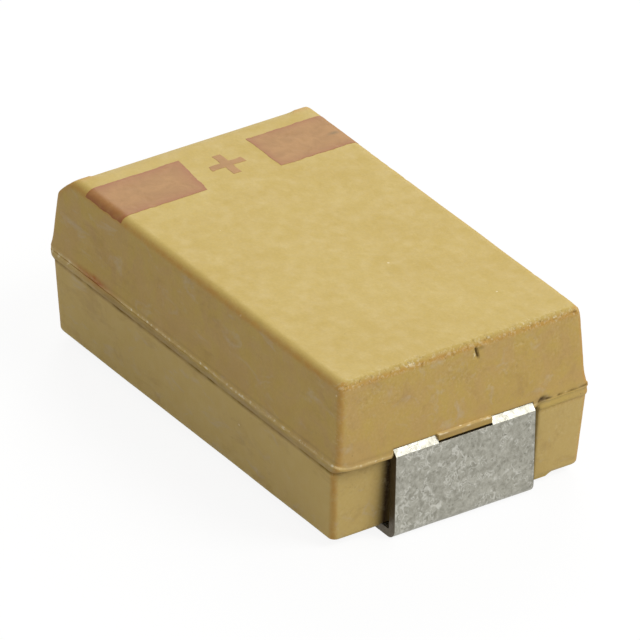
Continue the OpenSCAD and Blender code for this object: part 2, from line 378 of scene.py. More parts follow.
def mirrored(values):
    """The values with their negatives, in order."""
    return np.unique(np.concatenate([values, -np.asarray(values)]).round(4))


close_by = np.concatenate([nick_y + np.linspace(-0.08, 0.08, 11), pit_y + np.linspace(-0.08, 0.08, 7)])
breaks_y = mirrored([cathode_window / 2, anode_window / 2, strip_w / 2, pocket_half, rib_far_y])
end_stations = mirrored(np.concatenate([stations(-FLAT_Y, FLAT_Y, 0.045, breaks_y), close_by]))
long_stations = stations(-FLAT_X, FLAT_X, 0.048, mirrored([pocket_end, rib_start_x]))


def outline_stations():
    """A station lies at follow x (half size - r) + fixed + r x normal, in X and in Y. The columns hold
    follow, fixed and normal for half of the outline: the +X wall, a corner, the +Y wall and the next corner,
    which is the first one mirrored. The other half is the first half with every sign turned."""
    angle = np.radians(np.linspace(0, 90, 9))
    share = np.array([0.25, 0.5, 0.75])
    zero, one = np.zeros(3), np.ones(3)
    slide_up = [one, share, zero, (1 - share) * FLAT_Y, one, zero]
    slide_in = [share[::-1], one, (1 - share[::-1]) * FLAT_X, zero, zero, one]
    arc = [angle ** 0, angle ** 0, 0 * angle, 0 * angle, np.cos(angle), np.sin(angle)]
    corner = np.concatenate([slide_up, arc, slide_in], axis=1)
    mirror = corner[:, ::-1] * np.array([[-1], [1], [-1], [1], [-1], [1]])
    y = end_stations
    x = long_stations[::-1]
    wall_x = np.stack([y ** 0, 0 * y, 0 * y, y, y ** 0, 0 * y])
    wall_y = np.stack([0 * x, x ** 0, x, 0 * x, 0 * x, x ** 0])
    half = np.concatenate([wall_x, corner, wall_y, mirror], axis=1)
    nx, ny, nc = len(x), len(y), corner.shape[1]
    last = np.full(nc, 1)
    column = np.concatenate([np.full(ny, nx - 1), last * (nx - 1), np.arange(nx)[::-1], last * 0])
    row = np.concatenate([np.arange(ny), last * (ny - 1), np.full(nx, ny - 1), last * (ny - 1)])
    inner = np.concatenate([column * ny + row, (nx - 1 - column) * ny + (ny - 1 - row)])
    return np.concatenate([half, -half], axis=1), inner


outline, inner_link = outline_stations()
print("stations round the case:", outline.shape[1])

# %% [markdown]
# ## The profile of the case
# From the middle of the underside outwards and up to the top there are: a flat, a small arc, a drafted wall,
# the undercut of the ridge, its tip, a flare that dies out in the upper wall, that wall, and the arc over
# the edge. A row is given by its two half sizes, its height, and the tilt of its outward direction, from -90
# degrees on the underside to 90 on the top.

# %% Rows of the case
DRAFT = np.tan(np.radians([4, 3]))
RIDGE_REACH = np.array([0.02, 0.05])
RIDGE_T, LEG_GAP, SIDE_STEP = 0.03, 0.065, 0.01
UPPER_PART = ridge_half - RIDGE_REACH
LOWER_PART = np.array([face_x - strip_t - LEG_GAP, UPPER_PART[1] - SIDE_STEP])
BOTTOM_R = 0.08
TOP_R = np.array([0.07, 0.15])
FLARE_H = 0.28
UNDERCUT_H = 0.11
BEVEL = 0.38
case_top = top_z - 0.008
ridge_low, ridge_high = part_z - RIDGE_T / 2, part_z + RIDGE_T / 2
ledge_z = part_z - UNDERCUT_H
lip_z = part_z + 0.005
LIP_TOP = strip_top + 0.03


def lower_half(z):
    """The lower walls lean in by the draft, downwards from the parting line."""
    return LOWER_PART - (part_z - np.asarray(z))[..., None] * DRAFT


def upper_half(z):
    """The upper walls lean in by the draft, upwards from the parting line."""
    return UPPER_PART - (np.asarray(z) - part_z)[..., None] * DRAFT


def profile_rows():
    """Half sizes, height and tilt of every row, bottom to top."""
    flat = np.array([0.14, 0.09, 0.05, 0.02])
    arc = np.radians(np.linspace(0, 90, 7))
    wide = np.radians(np.linspace(0, 90, 11))
    foot = stand_off + BOTTOM_R
    crown = case_top - TOP_R[1]
    rows = []

    def put(half, z, tilt):
        rows.append(np.column_stack([half * np.ones((len(z), 2)), z, tilt * np.ones(len(z))]))

    put(lower_half(foot) - BOTTOM_R - flat[:, None], stand_off + 0 * flat, -90)
    put(lower_half(foot) - BOTTOM_R * (1 - np.cos(arc[::-1, None])), foot - BOTTOM_R * np.sin(arc[::-1]),
        -np.degrees(arc[::-1]))
    wall = np.linspace(foot, ledge_z, 22)[1:]
    put(lower_half(wall), wall, 0)
    under = np.array([0.08, 0.2, 0.35, 0.46, 0.49, 0.65, 0.82, 1])
    put(lower_half(ledge_z) + under[:, None] * (ridge_half - lower_half(ledge_z)),
        ledge_z + under * (ridge_low - ledge_z), -20)
    put(ridge_half[None], np.array([part_z, lip_z - 0.001, lip_z + 0.001]), 0)
    rise = np.array([0, 0.03, 0.06, 0.09, 0.12, 0.26, 0.34, 0.42, 0.52, 0.64, 0.8, 1])
    step = np.array([strip_top - 0.0015, strip_top + 0.0015, LIP_TOP - 0.0015, LIP_TOP + 0.0015])
    flare = np.sort(np.concatenate([ridge_high + FLARE_H * rise, step]))
    rise = ((flare - ridge_high) / FLARE_H)[:, None]
    reach = 0.55 * (1 - rise) ** 2 + 0.45 * (1 - step_up(rise, 0, 0.10))
    put(upper_half(flare) + reach * RIDGE_REACH, flare, 0)
    wall = np.concatenate([np.linspace(flare[-1], 2.30, 13)[1:], np.arange(2.325, crown, 0.025)])
    put(upper_half(wall), wall, 0)
    put(upper_half(crown) - (1 - np.cos(wide[:, None])) * TOP_R, crown + TOP_R[1] * np.sin(wide),
        np.degrees(wide))
    put(upper_half(crown) - TOP_R - flat[::-1, None], case_top + 0 * flat, 90)
    return np.concatenate(rows)


rows = profile_rows()
print("rows up the case:", len(rows))

# %% [markdown]
# ## Wear and small faults
# A moulded case is never quite true. The walls swell and sink a little, the ridge is uneven where resin was
# squeezed out, and the edge over the cathode end is chipped. There is a small nick under that edge and a pit
# in the parting line beside the terminal. All of these are shifts of the points along their outward
# direction. The two mould halves also sit a little out of line. Pockets are cut last, so that their edges
# stay straight.

# %% Shape the case
SINK = 0.004
RIDGE_Y = [-2.12, -2.02, -1.90, -1.20, -1.17, 1.21, 1.30, 1.95, 2.12]
RIDGE_LIFT = [0.045, 0.02, -0.025, -0.04, 0, 0, 0.04, 0.05, 0.06]
SIDE_OUT, CATHODE_OUT, ANODE_OUT = 0.05, 0.110, 0.080
BEVEL_ROUND = 0.025
FINGER_SEAT, LIP_SEAT = 0.092, 0.022


def case_grid():
    """Each outline is scaled by its row: point = follow x (half - r) + fixed + r x normal."""
    follow, fixed, normal = outline[0:2], outline[2:4], outline[4:6]
    half = rows[:, None, 0:2]
    flat = follow.T * (half - CORNER_R) + fixed.T + CORNER_R * normal.T
    z = np.broadcast_to(rows[:, 2, None, None], flat.shape[:2] + (1,))
    tilt = np.radians(rows[:, 3])[:, None, None]
    out = np.concatenate([np.cos(tilt) * normal.T, np.sin(tilt) * np.ones_like(z)], axis=-1)
    return np.concatenate([flat, z], axis=-1), out


def cap_grid(z, up):
    """The flat middle of the top or the underside: a plain grid of the two walls' stations."""
    x, y = np.meshgrid(long_stations, end_stations, indexing="ij")
    points = np.stack([x, y, np.full_like(x, z)], axis=-1).reshape(-1, 3)
    return points, np.tile([0.0, 0.0, up], (len(points), 1))


def case_faces(m, n):
    """Quads between neighbouring rows, quads of both middles, and a border that links each middle to the
    outer row next to it. Where two stations share one inner point, the border has a triangle."""
    k = np.arange(n)
    after = (k + 1) % n
    i = np.arange(m - 1)[:, None] * n
    walls = np.stack([i + k, i + after, i + n + after, i + n + k], axis=-1).reshape(-1, 4)
    nx, ny = len(long_stations), len(end_stations)
    g = (np.arange(nx - 1)[:, None] * ny + np.arange(ny - 1)).reshape(-1, 1)
    middle = g + np.array([[0, ny, ny + 1, 1]])
    shared = inner_link == inner_link[after]
    quads, triangles = [walls], []
    for base, ring, flip in ((m * n, 0, True), (m * n + nx * ny, (m - 1) * n, False)):
        border = np.stack([ring + k, ring + after, base + inner_link[after], base + inner_link], axis=-1)
        wide, slim = border[~shared], border[shared][:, [0, 1, 3]]
        inner = base + middle
        quads += [wide[:, ::-1] if flip else wide, inner[:, ::-1] if flip else inner]
        triangles.append(slim[:, ::-1] if flip else slim)
    return np.concatenate(quads), np.concatenate(triangles)


def cut_bevel(p):
    """Points beyond the bevel's plane move straight onto it, with a small round where it meets the faces."""
    top_x = upper_half(top_z)[0]
    over = (-(p[:, 0] + top_x - BEVEL) + (p[:, 2] - top_z)) / math.sqrt(2)
    push = (over + np.sqrt(over ** 2 + BEVEL_ROUND ** 2)) / 2 * (over > -0.2)
    moved = p.copy()
    moved[:, 0] += push / math.sqrt(2)
    moved[:, 2] -= push / math.sqrt(2)
    return moved, bell(over, 0, 0.06)


def cut_pockets(p):
    """Room for the terminals: behind each leg the wall steps in, below a height that is lowest beside the
    leg, higher in its window and highest over its bent fingers. Over the fingers the wall leans in to meet
    the strip. In the window a lip of resin stands a little further out. The underside is let in over each
    foot."""
    x, y, z = np.abs(p[:, 0]), np.abs(p[:, 1]), p[:, 2]
    window = np.where(p[:, 0] > 0, cathode_window, anode_window) / 2
    fingers = (y > window) & (y < strip_w / 2)
    below = np.select([y < window, fingers, y < pocket_half], [lip_z, strip_top, strip_top - strip_t], -1)
    behind = face_x - strip_t - POCKET_PLAY
    lean = np.where(fingers, face_x - FINGER_SEAT + np.clip(z - strip_top, 0, None), face_x)
    limit = np.where(z < below, behind, lean)
    lip = (y < window) & (z > lip_z) & (z < LIP_TOP) & (x > face_x - 0.1)
    x = np.where(lip, face_x - LIP_SEAT, x)
    near_end = x > 3
    over_foot = (x > pocket_end) & (y < pocket_half) & (z < strip_t + FOOT_PLAY)
    cut = p.copy()
    cut[:, 0] = np.where(near_end, np.sign(p[:, 0]) * np.minimum(x, limit), p[:, 0])
    cut[:, 2] = np.where(over_foot, strip_t + FOOT_PLAY, z)
    return cut


def misfit(p):
    """The two mould halves do not meet quite true. Round the parting line the ridge rises or dips, by a
    height that depends on Y. Below it the lower half's +Y wall stands out a little, and so do its end walls
    beside the legs, at the +Y corner of the cathode end and at both corners of the anode end."""
    x, y, z = p[:, 0], p[:, 1], p[:, 2]
    at_ridge = np.interp(z, [ledge_z, ridge_low, ridge_high + 0.07, ridge_high + 0.35], [0, 1, 1, 0])
    lower = 1 - step_up(z, ledge_z, ridge_low)
    moved = p.copy()
    moved[:, 1] += SIDE_OUT * step_up(y, 1.5, 2.0) * lower
    moved[:, 0] += CATHODE_OUT * step_up(x, 3.0, 3.4) * step_up(y, 1.21, 1.30) * lower
    moved[:, 0] -= ANODE_OUT * step_up(-x, 3.0, 3.4) * step_up(np.abs(y), 1.21, 1.30) * lower
    moved[:, 2] += np.interp(y, RIDGE_Y, RIDGE_LIFT) * at_ridge
    return moved


def raise_rib(p):
    """A low rib on the underside beside the cathode foot, with a sloping outer flank."""
    y = p[:, 1]
    flank = np.clip((rib_far_y + RIB_SLOPE / 2 - y) / RIB_SLOPE, 0, 1)
    on = (y > pocket_half) * flank * (p[:, 0] > rib_start_x) * (p[:, 2] < stand_off + BOTTOM_R / 2)
    return p - np.array([0, 0, RIB_H]) * on[:, None]


def weather(p, out):
    """Shifts every point along its outward direction by slow and fast lumps. Near the ridge's tip the shift
    is only inwards, and it is larger. Chips bite where fast lumps are high near the edge of the cathode end.
    Returns the points, where they are chipped, and where the nick and the pit are painted darker as shade,
    with a dark smudge beside the nick."""
    x, y, z = p[:, 0], p[:, 1], p[:, 2]
    tilt = out[:, 2]
    at_cathode = x > 3.3
    slow = lumps(p, 0.9, 11) * SINK + lumps(p, 0.24, 12) * SINK / 6
    tip = bell(z, part_z, 0.035) * (np.abs(tilt) < 0.5)
    ragged = -0.009 * (1 + lumps(p, 0.14, 13)) - 0.007 * (1 + lumps(p, 0.5, 14))
    in_window = (np.abs(y) < anode_window / 2) & (np.abs(x) > 3)
    ragged = np.where(in_window, 0, ragged)
    rubbed = -0.03 * step_up(-x, -2.0, 3.0) * (y < -1.9)
    edge = bell(tilt, 0.6, 0.45)
    near_end = bell(x, 3.47, 0.09) * edge
    bite = np.clip(lumps(p, 0.11, 15) + 0.7 * lumps(p, 0.05, 16) - 0.15, 0, 1)
    burr = bell(y, nick_y - 0.05, 0.02) * bell(z, 2.47, 0.05) * at_cathode
    crest = np.maximum(near_end * (0.35 + bite), burr)
    rest = edge * np.clip(lumps(p, 0.12, 17) - 0.35, 0, 1)
    shift = slow * (1 - tip) + tip * (ragged + rubbed) - 0.028 * (near_end * bite) - 0.016 * rest
    nick = bell(y, nick_y - 0.25 * (z - 2.48), 0.018) * step_up(z, 2.37, 2.43)
    nick *= (1 - step_up(z, 2.54, 2.60)) * at_cathode
    pit = bell(y, pit_y, 0.075) * bell(z, part_z + 0.03, 0.045) * at_cathode
    shift -= 0.04 * nick + 0.03 * pit
    smudge = 0.45 * bell(y, nick_y + 0.06, 0.06) * bell(z, 2.545, 0.022) * at_cathode
    # The nick and the pit are painted darker as shade; the smudge beside the nick is a dark mark on the face.
    hollow_shade_and_smudge = np.maximum.reduce([nick, pit, smudge])
    return p + out * np.minimum(shift, SINK)[:, None], crest, hollow_shade_and_smudge


def seam_marks(p, out):
    """Marks along the parting line: painted shade in the undercut's foot, and dark crumbs in dashes at the
    cathode end; painted shade in the gap beside each leg; a painted highlight on the ridge's upper lip and on
    the top of the window lip; painted shade above the lip and below its tip, less near the anode end, and on
    the window lip's front; one reddish stain on the ridge there; and where the lower half is."""
    wall = np.abs(out[:, 2]) < 0.5
    x, y, z = p[:, 0], p[:, 1], p[:, 2]
    right_of_leg = (x > 3.4) & (y > 1.25)
    window_lip = (np.abs(y) < cathode_window / 2) & (x > 3.4)
    # Painted shade on the end wall beside each leg, standing in for the shadow in the narrow gap behind the
    # leg.
    gap = bell(np.abs(y), strip_w / 2 - 0.03, 0.10) * (z < part_z - 0.03) * (np.abs(x) > 3)
    # Painted shade along the undercut's foot, where the ridge overhangs the wall; right of the cathode leg the
    # dashes instead are dark crumbs.
    foot = bell(z, ledge_z + 0.008, 0.016) * (0.75 + 0.35 * lumps(p, 0.16, 91))
    foot *= np.where(right_of_leg, 0, 0.8)
    dashes = right_of_leg * bell(z, part_z + 0.022, 0.016) * np.clip(2.2 * lumps(p, 0.07, 94), 0, 1)
    # Painted shade: a band below the ridge's tip, a thin line above its lip and a faint wash higher on the
    # wall, less near the anode end.
    painted_shade = 1.3 * bell(z, ledge_z + 0.050, 0.042) + 0.4 * bell(z, ridge_high + 0.078, 0.02)
    painted_shade += 0.12 * bell(z, 1.6, 0.16)
    painted_shade *= 0.3 + 0.7 * step_up(x, -2.7, -2.0)
    painted_shade *= (1 + 0.4 * lumps(p, 0.13, 95)) * ~right_of_leg
    # The window lip's front gets painted shade as well, darker towards its -Y end.
    lip_face = window_lip & (z > lip_z) & (z < strip_top + 0.002)
    shade = np.where(lip_face, 0.55 + 0.5 * bell(y, -0.45, 0.1), painted_shade)
    # A painted highlight along the ridge's upper lip, wider near the anode end on the -Y side, and along the
    # top edge of the window lip.
    pale = bell(z, ridge_high + 0.012, 0.016) * (0.9 + 0.8 * lumps(p, 0.09, 92))
    pale *= np.where(right_of_leg, 0.15, 1)
    far_highlight = step_up(-x, 2.55, 2.75) * (y < -1.9) * bell(z, part_z, 0.04)
    lip = np.where(window_lip, bell(z, LIP_TOP, 0.006), np.maximum(pale, 0.6 * far_highlight))
    stain = bell(x, -2.40, 0.38) * bell(z, ridge_high + 0.030, 0.060) * (y < -1.9)
    stain = stain * (1.2 + 0.8 * lumps(p, 0.2, 93))
    found = {"gap": gap, "seam": np.maximum(foot, dashes), "shade": shade, "lip": lip, "stain": stain,
             "lower": z < ledge_z}
    return {name: wall * value for name, value in found.items()}


def make_case():
    """Joins the wall grid with the two middles, then weathers, bevels and cuts it."""
    grid, out = case_grid()
    m, n = grid.shape[:2]
    low, low_out = cap_grid(stand_off, -1)
    high, high_out = cap_grid(case_top, 1)
    points = np.concatenate([grid.reshape(-1, 3), low, high])
    outward = np.concatenate([out.reshape(-1, 3), low_out, high_out])
    worn, chip, hollow = weather(points, outward)
    worn, crease = cut_bevel(worn)
    worn = cut_pockets(raise_rib(misfit(worn)))
    quads, triangles = case_faces(m, n)
    piece = make_piece("moulded_case", worn, quads, triangles)
    corner = np.tile(np.abs(2 * outline[4] * outline[5]), m)
    corner = np.concatenate([corner, np.zeros(len(low) + len(high))])
    tilt = np.abs(outward[:, 2])
    edge = np.maximum(bell(outward[:, 2], 0.45, 0.32), corner * (tilt < 0.9))
    values = {"edge": np.maximum(edge, crease), "chip": chip * 1.2, "hollow": hollow, "wall": 1 - tilt}
    for name, value in (values | seam_marks(points, outward)).items():
        store_marks(piece, name, value)
    return piece


case = make_case()
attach(case, "root")
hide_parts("case")
print("case faces:", len(case.data.polygons))

# %% [markdown]
# ## Thin sheets with a rim
# The printed marks and the folded terminals are both sheets: a grid of points for one side, the same grid
# set back for the other, and a rim round every border and hole. Cells that are left out make the holes. One
# helper finds the faces of any such sheet.

# %% Helper for sheets
def make_sheet(name, front, back, keep, smooth_below=35):
    """Front and back are grids of points, and keep says which cells exist. A cell's corners run round it.
    Where a kept cell has no kept neighbour across an edge, a rim face joins that edge to the one behind
    it."""
    a, b = keep.shape
    index = np.arange((a + 1) * (b + 1)).reshape(a + 1, b + 1)
    cell = np.stack([index[:-1, :-1], index[1:, :-1], index[1:, 1:], index[:-1, 1:]], axis=-1)
    behind = cell + index.size
    wide = np.pad(keep, 1)
    across = [wide[1:-1, :-2], wide[2:, 1:-1], wide[1:-1, 2:], wide[:-2, 1:-1]]
    quads = [cell[keep], behind[keep][:, ::-1]]
    for edge in range(4):
        bare = keep & ~across[edge]
        after = (edge + 1) % 4
        rim = [cell[bare][:, after], cell[bare][:, edge], behind[bare][:, edge], behind[bare][:, after]]
        quads.append(np.stack(rim, axis=-1))
    points = np.concatenate([front.reshape(-1, 3), back.reshape(-1, 3)])
    used, quads = np.unique(np.concatenate(quads), return_inverse=True)
    points, quads = points[used], quads.reshape(-1, 4)
    corner = points[quads]
    volume = np.einsum("ij,ij->", corner[:, 0], np.cross(corner[:, 1], corner[:, 2]))
    volume += np.einsum("ij,ij->", corner[:, 0], np.cross(corner[:, 2], corner[:, 3]))
    if volume < 0:
        quads = quads[:, ::-1]
    return make_piece(name, points, quads, smooth_below=smooth_below), used


# %% [markdown]
# ## The polarity band and the plus sign
# Two blocks of ink mark the anode end. They are printed over the long edges, so each block follows the flat
# top and then the arc of the edge. A small plus sign between them says the same in a second way. Each print
# is a film a few thousandths of a millimetre proud of the case. It is weathered by the same function as the
# case, so that the two never cross. Its outline wavers a little, as a printed edge does.

# %% Print the marks
FILM_PROUD = 0.003
FILM_DEEP = 0.02
PLUS_SIZE = 0.56
PLUS_STROKE = 0.13
BAND_GAP, BAND_GAP_Y = 1.24, 0.06
node_gap = (BAND_GAP_Y - BAND_GAP / 2, BAND_GAP_Y + BAND_GAP / 2)

# How much each block stops short of the full wrap, how far it is skewed, and how fast its rim fades
BLOCK_PRINT = {-1: (0.06, 0.11, 0.12), 1: (0, 0, 0.06)}


def over_top(x, t):
    """The point at distance t from the middle line, measured along the top, over the edge's arc and down the
    wall, and the outward direction there."""
    crown_half = upper_half(case_top - TOP_R[1])[1]
    flat = crown_half - TOP_R[1]
    side = np.sign(t)
    turn = np.clip((np.abs(t) - flat) / TOP_R[1], 0, math.pi / 2)
    down = np.clip(np.abs(t) - flat - TOP_R[1] * math.pi / 2, 0, None)
    y = side * (np.minimum(np.abs(t), flat) + TOP_R[1] * np.sin(turn))
    z = case_top - TOP_R[1] * (1 - np.cos(turn)) - down
    out = np.stack([0 * t, side * np.sin(turn), np.cos(turn)], axis=-1)
    return np.stack([x, y, z], axis=-1), out


def print_film(name, x_line, t_line, keep, seed, skew=0):
    """A grid over the top, skewed and wavered a little along the surface, weathered, and given its two
    sides."""
    x, t = np.meshgrid(x_line, t_line, indexing="ij")
    t = t + skew * (band_high[0] - x) * (t - t_line[0]) / (t_line[-1] - t_line[0])
    flat = np.stack([x, t, 0 * x], axis=-1)
    x = x + 0.010 * lumps(flat, 0.11, seed) + 0.005 * lumps(flat, 0.045, seed + 1)
    t = t + 0.010 * lumps(flat, 0.11, seed + 2) + 0.005 * lumps(flat, 0.045, seed + 3)
    points, out = over_top(x, t)
    worn = weather(points.reshape(-1, 3), out.reshape(-1, 3))[0].reshape(points.shape)
    return make_sheet(name, worn + out * FILM_PROUD, worn - out * FILM_DEEP, keep)


def print_block(name, side, seed):
    """One block of the band: its rim mark is 1 at the outline and fades inwards, and one block has a
    smudge."""
    gap = node_gap[side > 0]
    short, skew, fade = BLOCK_PRINT[side]
    reach = upper_half(case_top - TOP_R[1])[1] - TOP_R[1] + TOP_R[1] * math.pi / 2 + 0.008 - short
    x_line = np.linspace(band_low[0], band_high[0], 37)
    t_line = np.sort(np.linspace(gap, side * reach, 65))
    keep = np.ones((len(x_line) - 1, len(t_line) - 1), dtype=bool)
    piece, used = print_film(name, x_line, t_line, keep, seed, skew)
    x, t = np.meshgrid(x_line, t_line, indexing="ij")
    inset = np.minimum.reduce([x - band_low[0], band_high[0] - x, np.abs(t - gap), np.abs(reach - np.abs(t))])
    store_marks(piece, "rim", np.tile(np.exp(-inset.ravel() / fade), 2)[used])
    smudge = bell(x, -2.27, 0.03) * bell(t, 1.82, 0.08)
    store_marks(piece, "smudge", np.tile(smudge.ravel(), 2)[used])
    return piece


def print_plus():
    """A square grid in which only the cells of the two bars are kept."""
    middle = ((band_low[0] + band_high[0]) / 2, (node_gap[0] + node_gap[1]) / 2)
    line = stations(-PLUS_SIZE / 2, PLUS_SIZE / 2, 0.03, [-PLUS_STROKE / 2, PLUS_STROKE / 2], pair=0)
    centre = (line[:-1] + line[1:]) / 2
    bar = np.abs(centre) < PLUS_STROKE / 2
    keep = bar[:, None] | bar[None, :]
    return print_film("polarity_plus", middle[0] + line, middle[1] + line, keep, 71)[0]


band_left = print_block("band_left", -1, 31)
band_right = print_block("band_right", 1, 51)
plus = print_plus()
for piece in (band_left, band_right, plus):
    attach(piece, "root")
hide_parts("polarity_band")
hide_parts("polarity_band")
print("band blocks reach y =", [round(v, 3) for v in node_gap], "and wrap over both long edges")

# %% [markdown]
# ## The folded terminals
# Each terminal is one tinned strip. It leaves the case where the mould parts, bends down against the end
# wall and folds under to make the foot. A window was punched across the bend, so two fingers carry the leg.
# The press flattens the outside of the top bend. The strip's middle line is a path of straight runs and
# arcs, and the sheet is that path carried across Y. Each run says how wide the strip is there and how wide
# its window is.

# %% Fold the terminals
BEND_MID = 0.03 + strip_t / 2
INNER_BEND_MID = 0.08 + strip_t / 2
SLANT = 0.1655
CREASE = math.degrees(math.atan(SLANT / (BEND_MID + strip_t / 2) * math.sqrt(2) - 1))
window_x = face_x - WINDOW_L
shoulder_x = window_x - SHOULDER_L
foot_tip = face_x - FOOT_L
tray_mid = node_box("silver_adhesive")[0][2] - strip_t / 2
FOOT_CORNER = 0.06
TRAY_W, TONGUE_W = 2.0, 1.2
FINE_STEP = 0.03
SWAY = 0.0025
EASED = 0.012


def straight(start, end, step=0.07):
    """Even points from start to end."""
    start, end = np.array(start), np.array(end)
    share = np.linspace(0, 1, max(2, int(np.linalg.norm(end - start) / step) + 1))
    return start + share[:, None] * (end - start)


def arc(centre, radius, start, end, steps=8):
    """Points round a centre, from one angle to another in degrees."""
    angle = np.radians(np.linspace(start, end, steps + 1))
    return np.array(centre) + radius * np.stack([np.cos(angle), np.sin(angle)], axis=-1)


def outer_runs(window):
    """The runs that both terminals share, from the tip of the foot to the shoulder inside the case, at the
    +X end. Each run is its points in X and Z, its width, and the width of the window in it."""
    mid_x = face_x - strip_t / 2
    bend = mid_x - BEND_MID
    low, high = strip_t / 2 + BEND_MID, part_z - BEND_MID
    centre = (bend, high)
    runs = [(straight((foot_tip, strip_t / 2), (bend, strip_t / 2), FINE_STEP), 0),
            (arc((bend, low), BEND_MID, -90, 0), 0),
            (straight((mid_x, low), (mid_x, high), FINE_STEP), 0),
            (arc(centre, BEND_MID, 0, CREASE, 3), 0),
            (arc(centre, BEND_MID, CREASE, 90 - CREASE, 4), window),
            (arc(centre, BEND_MID, 90 - CREASE, 90, 2), window),
            (straight((bend, part_z), (window_x, part_z)), window),
            (straight((window_x, part_z), (shoulder_x, part_z)), 0)]
    return [(points, strip_w, hole) for points, hole in runs]


def coin(p):
    """The press flattens the outside of the top bend. The distance from the bend's centre is the least of r
    / cos a, r / sin a and slant / cos(a - 45), so three flats meet in two creases."""
    r = BEND_MID + strip_t / 2
    centre = np.array([face_x - r, part_z - BEND_MID])
    across, up = p[..., 0] - centre[0], p[..., 2] - centre[1]
    a = np.arctan2(up, across)
    bent = (across > 1e-4) & (up > 1e-4)
    a = np.where(bent, a, 0.5)
    reach = np.minimum.reduce([r / np.cos(a), r / np.sin(a), SLANT / np.cos(a - math.pi / 4)])
    pressed = p.copy()
    pressed[..., 0] = np.where(bent, centre[0] + reach * np.cos(a), p[..., 0])
    pressed[..., 2] = np.where(bent, centre[1] + reach * np.sin(a), p[..., 2])
    return pressed


def cathode_runs():
    """Beyond the shoulder the cathode strip steps down in a riser and ends in the tray under the slug."""
    high, low = part_z - INNER_BEND_MID, tray_mid + INNER_BEND_MID
    riser = shoulder_x - INNER_BEND_MID
    inner = riser - INNER_BEND_MID
    return outer_runs(cathode_window) + [
        (arc((shoulder_x, high), INNER_BEND_MID, 90, 180), TRAY_W, 0),
        (straight((riser, high), (riser, low)), TRAY_W, 0),
        (arc((inner, low), INNER_BEND_MID, 0, -90), TRAY_W, 0),
        (straight((inner, tray_mid), (tray_tip, tray_mid)), TRAY_W, 0)]


def anode_runs():
    """Beyond the shoulder the anode strip runs on level as the tongue that carries the wire."""
    return outer_runs(anode_window) + [
        (straight((shoulder_x, part_z), (-tongue_tip, part_z), FINE_STEP), TONGUE_W, 0)]


def fold_strip(name, runs, side, window, groove=False):
    """Carries the path across Y. The outward direction is the path's own, turned by a right angle, and each
    side of the sheet lies half a thickness along it. The foot narrows to round its corners."""
    path = np.concatenate([runs[0][0][:1]] + [points[1:] for points, _, _ in runs])
    width = np.concatenate([np.full(len(points) - 1, w) for points, w, _ in runs])
    hole = np.concatenate([np.full(len(points) - 1, h) for points, _, h in runs])
    along = np.gradient(path, axis=0)
    along /= np.linalg.norm(along, axis=1)[:, None]
    breaks = mirrored([window / 2, TRAY_W / 2, TONGUE_W / 2, 0.1, 0.06])
    y = stations(-strip_w / 2, strip_w / 2, FINE_STEP, breaks, pair=0)
    from_tip = np.where(path[:, 1] < strip_t, path[:, 0] - foot_tip, FOOT_CORNER)
    far = np.clip(FOOT_CORNER - from_tip, 0, FOOT_CORNER)
    narrow = 1 - (FOOT_CORNER - np.sqrt(FOOT_CORNER ** 2 - far ** 2)) / (strip_w / 2)
    middle = (y[:-1] + y[1:]) / 2
    keep = (np.abs(middle) < width[:, None] / 2) & (np.abs(middle) > hole[:, None] / 2)
    grid = np.stack(np.broadcast_arrays(path[:, 0, None], y * narrow[:, None], path[:, 1, None]), axis=-1)
    out = np.stack([along[:, 1], 0 * along[:, 0], -along[:, 0]], axis=-1)[:, None]
    sway = SWAY * lumps(grid, 0.5, 81)[..., None] * out - SWAY * out
    front = coin(grid + out * strip_t / 2) + sway
    back = grid - out * strip_t / 2 + sway
    if groove:
        front[..., 2] = np.minimum(front[..., 2], groove_under_wire(front))
    turn = np.array([side, 1, 1])
    return make_sheet(name, front * turn, back * turn, keep)[0]


def groove_under_wire(p):
    """The height of the wire's underside over the tongue: centre - root(radius squared - y squared)."""
    radius = (wire_high[2] - wire_low[2]) / 2
    centre = (wire_high[2] + wire_low[2]) / 2
    below = centre - np.sqrt(np.clip(radius ** 2 - p[..., 1] ** 2, 0, None))
    on_tongue = (np.abs(p[..., 1]) < radius * 0.99) & (p[..., 0] < -wire_low[0]) & (p[..., 2] > part_z)
    return np.where(on_tongue, below, top_z)


def ease_edges(piece, width):
    """Rounds the sharp edges of a stamped strip by a very small width."""
    bevel = piece.modifiers.new("eased_edges", "BEVEL")
    bevel.width = width * MM
    bevel.segments = 2
    bevel.limit_method = "ANGLE"
    bevel.angle_limit = math.radians(50)
    bevel.use_clamp_overlap = True


cathode = fold_strip("folded_cathode", cathode_runs(), 1, cathode_window)
anode = fold_strip("folded_anode", anode_runs(), -1, anode_window, groove=True)
for piece, node in ((cathode, "cathode_terminal"), (anode, "anode_terminal")):
    ease_edges(piece, EASED)
    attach(piece, "root")
    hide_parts(node)
print("terminal faces:", len(cathode.data.polygons), len(anode.data.polygons))

# %% [markdown]
# ## Resin
# The epoxy is filled with fine silica, so it is matte, and its tan colour is clouded. The walls are rougher
# and more mottled than the top, because they slide out of the mould. Edges wear to a warmer tone, chips are
# pale, and the nick and the pit are painted darker as shade. Painted shade also lies under the ridge and
# beside the legs, and a painted highlight lies along the ridge's lip. The mesh carries those places as
# values, and noise breaks them up.

# %% Finish of the resin
TAN, TAN_PALE = (202, 175, 94), (206, 180, 100)
WALL_OLIVE, WALL_PINK = (202, 172, 95), (200, 167, 103)


def specks(mat, place, scale, radius, share):
    """Small dots: a cell pattern gives each cell one point, a dot is what lies within a radius of it, and
    only the cells whose random value is above a share have one."""
    cells = add(mat, "TexVoronoi", {"Vector": place, "Scale": scale})
    dot = spread(mat, cells.outputs["Distance"], radius * 0.6, radius, 1, 0)
    value = add(mat, "SeparateColor", {0: cells.outputs["Color"]}).outputs[0]
    return times(mat, dot, spread(mat, value, share, share + 0.02))


